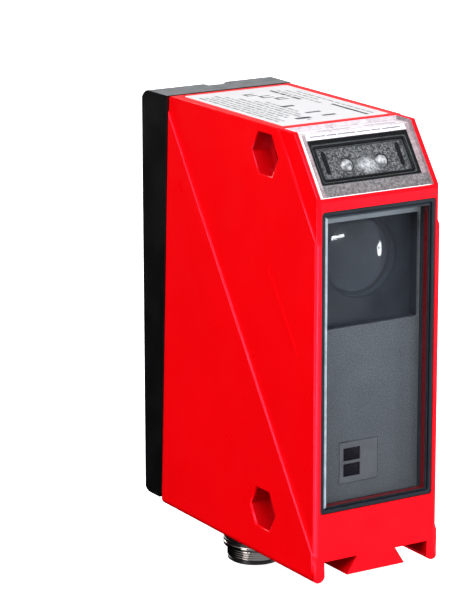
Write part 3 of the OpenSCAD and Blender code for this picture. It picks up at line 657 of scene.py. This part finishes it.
SLOPE = math.atan2(SLOPE_RISE, SLOPE_DEPTH)
SLOPE_UP = Vector((0, math.cos(SLOPE), math.sin(SLOPE)))
SLOPE_OUT = Vector((0, -math.sin(SLOPE), math.cos(SLOPE)))
SLOPE_FOOT = Vector((0, 0, TOP - SLOPE_RISE))
SLOPE_L = math.hypot(SLOPE_RISE, SLOPE_DEPTH)


def on_slope(x, up, out):
    """A point given across the slope, up it and out of it, in mm."""
    return (SLOPE_FOOT + SLOPE_UP * up + SLOPE_OUT * out + Vector((x, 0, 0))) * MM


def slope_patch(bm, x, up, out, index):
    """A rectangle on the slope from its spans across and up it."""
    corners = ((x[0], up[0]), (x[1], up[0]), (x[1], up[1]), (x[0], up[1]))
    quad(bm, [on_slope(a, b, out) for a, b in corners], index)


def indicator_border():
    """The frosted skin under the clear window's border: a white top, a painted highlight along the left and
    lower rim, a grey lower strip, pinkish side strips and short generic dashes."""
    bm = bmesh.new()
    white, edge, grey, pink, dash, seal = range(6)
    depth, foot, crest, half = -0.94, 1.05, SLOPE_L - 0.45, 13.36
    rim, blend, left, right = -12.6, -12.35, -11.5, 12.1
    low, strip, seal_low, seal_high, gap = 1.4, 3.95, 13.33, 13.72, 0.02
    z, front, rear, wall_top = TOP + depth, 9.45, 13.96, 89.9

    def flat(points, index):
        quad(bm, [Vector(p) * MM for p in points], index)

    # Painted highlight: the left and lower rims and the left wall take the bright rim finish.
    slope_patch(bm, (-half, rim), (foot, crest), depth, edge)
    slope_patch(bm, (rim, blend), (low, crest), depth, edge)
    slope_patch(bm, (blend, left), (low, crest), depth, pink)
    slope_patch(bm, (rim, half), (foot, low), depth, edge)
    slope_patch(bm, (left, half), (low, strip), depth, grey)
    slope_patch(bm, (right, half), (strip, crest), depth, pink)
    slope_patch(bm, (left, right), (seal_low, seal_high), depth, seal)
    slope_patch(bm, (left, right), (seal_high, crest), depth, white)
    flat(((-half, front, z), (half, front, z), (half, rear, z), (-half, rear, z)), white)
    flat(((-half, rear, z), (half, rear, z), (half, rear, wall_top), (-half, rear, wall_top)), white)
    wall = ((1.1, depth), (SLOPE_L - 0.1, depth), (SLOPE_L - 0.1, -0.08), (1.1, -0.08))
    for x, index in ((-half, edge), (half, pink)):
        quad(bm, [on_slope(x, up, out) for up, out in wall], index)
        flat(((x, front, z), (x, rear, z), (x, rear, wall_top), (x, front, wall_top)), index)
    dashes = ((3.6, 0.3), (2.4, 0.3), (4.2, 0.4), (3.1, 0.3), (2.2, 0.3), (4.4, 0.3))
    x = left + 0.9
    for i, (length, space) in enumerate(dashes):
        slope_patch(bm, (x, x + length), (14.3, 14.6), depth + gap, dash)
        if i % 3:
            corners = ((x, 11.4), (x + length, 11.4), (x + length, 11.75), (x, 11.75))
            flat([(a, b, z + gap) for a, b in corners], dash)
        x += length + space
    add("indicator_border", bm, [FROST_WHITE, FROST_EDGE_HIGHLIGHT, FROST_GREY, FROST_PINK, FROST_DASH, RUBBER])


def indicator_gasket():
    """The black frame around the plate, with painted light along the groove in it."""
    mid_x, half_x, low, high = 0.4, 11.95, 3.9, 13.6
    side_bar, low_bar, high_bar = 1.75, 1.55, 1.7
    # How far in from its outer edge, how deep, and whether the groove's painted light reaches there.
    profile = [(0, -3.2, 0), (0, -1.25, 0), (0.1, -1.1, 0), (0.62, -1.1, 0), (0.72, -1.25, 0),
               (0.74, -1.5, 1), (0.98, -1.5, 1), (1.0, -1.25, 0), (1.1, -1.12, 0), (1.4, -1.12, 0),
               (1.5, -1.25, 0), (1.52, -1.7, 0), (1.65, -1.7, 1), (1.7, -3.2, 1)]
    bm = bmesh.new()
    rings = []
    for inset, depth, index in profile:
        k = inset / profile[-1][0]
        x1, s0, s1 = half_x - side_bar * k, low + low_bar * k, high - high_bar * k
        r = 0.75 - 0.35 * k
        loop = []
        for cx, cs, start in ((x1 - r, s1 - r, 0), (-x1 + r, s1 - r, 90), (-x1 + r, s0 + r, 180),
                              (x1 - r, s0 + r, 270)):
            for a in (math.radians(start + 15 * i) for i in range(7)):
                across, up = mid_x + cx + r * math.cos(a), cs + r * math.sin(a)
                loop.append(bm.verts.new(on_slope(across, up, depth)))
        rings.append((loop, index))
    for (a, _), (b, index) in zip(rings, rings[1:]):
        band(bm, a, b, index)
    band(bm, rings[-1][0], rings[0][0])
    bmesh.ops.recalc_face_normals(bm, faces=bm.faces)
    add("indicator_gasket_shape", bm, [RUBBER, RUBBER_PAINTED_LIGHT],
        replaces=("indicator_gasket",), smooth=50)


def slot_shade_patches():
    """Painted shade: dark patches laid over the two slots beside the lamps, for the dark inside them."""
    r, base, top = 0.5, -1.83, -1.77
    bm = bmesh.new()
    for mid in (-8.4, 9.2):
        points = []
        for end, start in ((11.0, 0), (7.0, 180)):
            for a in (math.radians(start + turn) for turn in range(0, 181, 20)):
                points.append((mid + r * math.cos(a), end + r * math.sin(a)))
        lower = [bm.verts.new(on_slope(x, up, base)) for x, up in points]
        upper = [bm.verts.new(on_slope(x, up, top)) for x, up in points]
        bm.faces.new(upper)
        band(bm, lower, upper)
    add("slot_shade_patches", bm, RUBBER, smooth=40)


indicator_border()
indicator_gasket()
rounded("indicator_window", CLEAR_WINDOW, 0.25, 3, 20)
rounded("indicator_plate", PLATE, 0.1)
slot_shade_patches()
paint(LAMP, "power_lamp", "signal_lamp")


# Label --------------------------------------------------------------------------------------

# Rows of bars: the left edge and the width of the bars, where the row ends and starts, the bars'
# lengths, the gap between them, and 1 for grey print or 2 for bold.
LABEL_ROWS = (
    (-11.1, 0.7, 19, 51, (3.1, 1.4, 2.2, 0.9, 2.7), 0.5, 1),
    (-9.8, 0.6, 20, 50.5, (1.2, 2.6, 0.8, 1.9), 0.45, 1),
    (-8.6, 0.6, 24, 50, (0.9, 1.7, 2.9, 1.2), 0.5, 1),
    (-7.3, 0.7, 22, 51, (2.4, 1.1, 3.0), 0.5, 1),
    (-5.9, 0.6, 24, 49, (1.8, 0.9, 2.3, 1.3), 0.5, 1),
    (-4.5, 0.7, 18.5, 46, (2.9, 1.5, 1.0), 0.5, 1),
    (-3.1, 0.6, 24, 42, (1.6, 0.8, 2.2), 0.45, 1),
    (-1.7, 0.6, 27, 40, (2.1, 1.2), 0.5, 1),
    (5.9, 0.8, 36, 50.5, (3.4, 2.2, 1.3), 0.5, 2),
    (7.4, 0.6, 33, 50, (1.4, 2.5, 0.9), 0.5, 1),
    (8.5, 0.8, 17, 31, (13.4,), 0.5, 2),
    (9.0, 0.6, 34, 49, (2.2, 1.0, 1.7), 0.5, 1),
    (10.4, 0.6, 18, 47, (2.0, 1.2, 2.6), 0.5, 1),
)
# Open squares and solid blocks, each from x to x and from y to y.
LABEL_SQUARES = ((-1.4, 1.2, 47.2, 49.4), (0.4, 3.2, 43.8, 46.2), (2.2, 4.8, 40.6, 42.8))
LABEL_BLOCKS = ((-6.2, -2.6, 20.4, 21.8), (0.4, 3.6, 20.9, 22.0), (-1.0, 2.6, 25, 26),
                (-1.6, 1.4, 33, 34.2))


def type_label():
    """The printed film on top: rows of short generic bars, some open squares and some bold blocks."""
    lo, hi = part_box("type_label")
    mid, size = (lo + hi) / 2, hi - lo
    bm = bmesh.new()
    bmesh.ops.create_cube(bm, size=1)
    for v in bm.verts:
        v.co = Vector(mid[i] + v.co[i] * size[i] for i in range(3))
    upright = [e for e in bm.edges if abs(e.verts[0].co.z - e.verts[1].co.z) > 0.05 * MM]
    bmesh.ops.bevel(bm, geom=upright, offset=0.8 * MM, segments=4, profile=0.5, affect="EDGES")
    print_z = hi.z / MM + 0.004

    def bar(x0, x1, y0, y1, index=2):
        quad(bm, [Vector((x, y, print_z)) * MM for x, y in ((x0, y0), (x1, y0), (x1, y1), (x0, y1))], index)

    for x, width, end, y, lengths, gap, index in LABEL_ROWS:
        i = 0
        while y - lengths[i % len(lengths)] > end:
            length = lengths[i % len(lengths)]
            bar(x, x + width, y - length, y, index)
            y -= length + gap
            i += 1
    line = 0.6
    for x0, x1, y0, y1 in LABEL_SQUARES:
        bar(x0, x1, y0, y0 + line)
        bar(x0, x1, y1 - line, y1)
        bar(x0, x0 + line, y0 + line, y1 - line)
    for block in LABEL_BLOCKS:
        bar(*block)
    add("type_label_shape", bm, [LABEL, LABEL_PRINT, LABEL_BOLD],
        replaces=("type_label",), smooth=30)


type_label()


# Control panel ------------------------------------------------------------------------------

LEAN = math.atan2(PARTING_LEAN, TOP)
REAR_OUT = Vector((0, math.cos(LEAN), math.sin(LEAN)))
REAR_UP = Vector((0, -math.sin(LEAN), math.cos(LEAN)))


def on_rear(x, out, up):
    """A point given across the parting plane, out of it and up it, in mm."""
    return (Vector((x, PARTING_Y, 0)) + REAR_OUT * out + REAR_UP * up) * MM


def key_mark(name, body, up, shape):
    """A raised mark on a key, a little narrower at its top: an arrow or a dot."""
    base, top, taper = -0.28, -0.13, 0.94
    bm = bmesh.new()
    lower = [bm.verts.new(on_rear(x, base, up + z)) for x, z in shape]
    upper = [bm.verts.new(on_rear(x * taper, top, up + z * taper)) for x, z in shape]
    bm.faces.new(upper)
    bm.faces.new(lower[::-1])
    band(bm, lower, upper)
    bmesh.ops.recalc_face_normals(bm, faces=bm.faces)
    add(name, bm, KEY_MARK, body)


ARROW_UP = [(-1.9, -0.9), (1.9, -0.9), (0, 1.4)]
ARROW_DOWN = [(-1.9, 0.9), (0, -1.4), (1.9, 0.9)]
DOT_R = 1.3
DOT = [(DOT_R * math.cos(math.radians(a)), DOT_R * math.sin(math.radians(a))) for a in range(0, 360, 15)]
# Each key's node, its body, how far up the panel it sits, and its mark.
KEYS = (("key_up", "up_key", 44, ARROW_UP), ("key_down", "down_key", 32, ARROW_DOWN),
        ("key_enter", "enter_key", 20, DOT))

rounded("control_panel", PANEL, 0.15)
rounded("display_window", SCREEN, 0.12)
for node, body, up, mark in KEYS:
    rounded(node, KEY, 0.3, 3, body=body)
    key_mark(node + "_mark", body, up, mark)


# Plug ---------------------------------------------------------------------------------------

def lathe(name, profile, mats, node, black_below=-math.inf):
    """A turned piece on the plug's axis from a closed profile of radius and height in mm. Its faces below
    a height have the second finish."""
    lo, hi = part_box(node)
    axis = Vector(((lo.x + hi.x) / 2, (lo.y + hi.y) / 2, 0))
    steps = 96
    bm = bmesh.new()
    rings = []
    for a in (2 * math.pi * k / steps for k in range(steps)):
        rings.append([bm.verts.new(axis + MM * Vector((r * math.cos(a), r * math.sin(a), z)))
                      for r, z in profile])
    for k in range(steps):
        a, b = rings[k], rings[(k + 1) % steps]
        for i in range(len(profile)):
            j = (i + 1) % len(profile)
            f = bm.faces.new((a[i], b[i], b[j], a[j]))
            f.material_index = int((profile[i][1] + profile[j][1]) / 2 < black_below)
    bmesh.ops.recalc_face_normals(bm, faces=bm.faces)
    add(name, bm, mats, "sensor_body", (node,), 42)


def plug_profile():
    """The plug's metal shell: neck, flange with soft rims, shallow thread rings and a plain end."""
    points = [(4.4, 9.5), (5.5, 9.5), (5.5, -7), (6.5, -7), (6.72, -7.12), (6.8, -7.3), (6.8, -7.75),
              (6.72, -7.95), (6.5, -8.1), (5.85, -8.12), (5.85, -8.3)]
    root, crest, pitch = 5.92, 5.97, 0.5
    z = -8.4
    while z > -10.4:
        points += [(root, z), (crest, z - 0.08), (crest, z - 0.32), (root, z - 0.40)]
        z -= pitch
    return points + [(5.8, -10.5), (5.92, -10.6), (5.92, -11.05), (5.6, -11.3), (4.75, -11.3), (4.4, -11.1)]


COLLAR_PROFILE = [(5.55, -0.02), (6.65, -0.02), (6.8, -0.2), (6.8, -5.9), (6.62, -6.05), (6.62, -6.25),
                  (6.8, -6.4), (6.8, -6.85), (6.66, -7), (5.55, -7)]

# Painted shade: the shell's faces below a height of -10.45 mm take the black finish, for the dark end of
# the plug.
lathe("plug_shell_shape", plug_profile(), [NICKEL, PLUG_BLACK], "plug_shell", -10.45)
lathe("plug_collar_shape", COLLAR_PROFILE, PLUG_BLACK, "plug_collar")
rounded("plug_nut", NICKEL, 0.2)
rounded("plug_insert", PLUG_BLACK, 0.1)


# Studio -------------------------------------------------------------------------------------

def make_floor():
    """A white floor just under the sensor. It is clear from below and has no part in shadows or
    reflections."""
    half = 4
    z = cad_low.z - 0.2 * MM
    bm = bmesh.new()
    quad(bm, [(x * half, y * half, z) for x, y in ((-1, -1), (1, -1), (1, 1), (-1, 1))])
    me = bpy.data.meshes.new("floor")
    bm.to_mesh(me)
    bm.free()
    t = Tree("floor_white")
    white = t.node("BsdfDiffuse")
    white.inputs["Color"].default_value = (0.92, 0.92, 0.92, 1)
    glow = t.node("Emission")
    glow.inputs["Strength"].default_value = 0.85
    both = t.node("AddShader")
    t.link(white.outputs[0], both.inputs[0])
    t.link(glow.outputs[0], both.inputs[1])
    away = t.node("BsdfTransparent")
    mix = t.node("MixShader")
    t.link(t.node("NewGeometry").outputs["Backfacing"], mix.inputs[0])
    t.link(both.outputs[0], mix.inputs[1])
    t.link(away.outputs[0], mix.inputs[2])
    me.materials.append(t.done(mix))
    o = bpy.data.objects.new("floor", me)
    bpy.context.scene.collection.objects.link(o)
    o.visible_glossy = False
    o.visible_diffuse = False
    o.visible_shadow = False


MIDDLE = (0, 0.03, 0.045)


def softbox(name, at, size, power, aim=MIDDLE, colour=(1, 1, 1), glossy=True, shape="RECTANGLE", roll=0.0):
    """A studio light that faces a point on the sensor. Its place and size are in metres."""
    data = bpy.data.lights.new(name, "AREA")
    data.shape = shape
    data.size, data.size_y = size
    data.energy = power
    data.color = colour
    o = bpy.data.objects.new(name, data)
    bpy.context.scene.collection.objects.link(o)
    o.location = at
    o.rotation_mode = "QUATERNION"
    turn = (Vector(aim) - Vector(at)).to_track_quat("-Z", "Y")
    o.rotation_quaternion = turn @ Quaternion((0, 0, 1), roll)
    o.visible_glossy = glossy
    o.visible_camera = False


def make_world():
    """A pale room above the horizon. Below it, only the side in front of the sensor is a little light."""
    w = bpy.data.worlds.new("studio")
    bpy.context.scene.world = w
    w.use_nodes = True
    t = w.node_tree
    t.nodes.clear()

    def node(kind):
        return t.nodes.new("ShaderNode" + kind)

    def ramp(fac, stops):
        r = node("ValToRGB")
        for e, (at, c) in zip(r.color_ramp.elements, stops):
            e.position, e.color = at, (*c, 1)
        t.links.new(fac, r.inputs[0])
        return r.outputs[0]

    def unit(value):
        m = node("MapRange")
        m.inputs["From Min"].default_value = -1
        t.links.new(value, m.inputs["Value"])
        return m.outputs[0]

    split = node("SeparateXYZ")
    t.links.new(node("TexCoord").outputs["Generated"], split.inputs[0])
    below = ramp(unit(split.outputs["Y"]), [(0.12, (0.36, 0.38, 0.42)), (0.40, (0.0, 0.0, 0.0))])
    rise = ramp(unit(split.outputs["Z"]), [(0.47, (0, 0, 0)), (0.56, (1, 1, 1))])
    room = node("Mix")
    room.data_type = "RGBA"
    t.links.new(rise, room.inputs[0])
    t.links.new(below, room.inputs[6])
    above = ramp(unit(split.outputs["Y"]), [(0.55, (0.45, 0.46, 0.48)), (0.80, (0.04, 0.04, 0.045))])
    t.links.new(above, room.inputs[7])
    dim, white, mix = node("Background"), node("Background"), node("MixShader")
    t.links.new(room.outputs[2], dim.inputs["Color"])
    white.inputs["Strength"].default_value = 1.3
    t.links.new(node("LightPath").outputs["Is Camera Ray"], mix.inputs[0])
    t.links.new(dim.outputs[0], mix.inputs[1])
    t.links.new(white.outputs[0], mix.inputs[2])
    t.links.new(mix.outputs[0], node("OutputWorld").inputs["Surface"])


make_floor()
make_world()
softbox("key", (-0.35, -0.45, 0.75), (0.5, 0.5), 8.5)
softbox("side_fill", (-0.76, -0.24, 0.50), (0.5, 0.45), 5)
softbox("front_fill", (0.30, -0.80, 0.25), (0.5, 0.5), 4.5, colour=(0.96, 0.97, 1), glossy=False)
softbox("rear_fill", (0.42, 0.78, 0.30), (0.5, 0.3), 0.15)
softbox("back", (0.0, 0.95, 0.28), (0.5, 0.5), 5)
softbox("low_side", (-0.56, -0.15, -0.16), (0.20, 0.25), 0.5)
softbox("glint", (0.507, -0.300, -0.008), (0.15, 0.14), 1.7, aim=(0.004, 0.005, 0.065), shape="ELLIPSE")
softbox("streak", (-0.065, -0.664, 0.262), (0.22, 0.045), 1.2, aim=(-0.005, 0.006, 0.068), roll=0.15)
bpy.context.scene.view_settings.view_transform = "Standard"
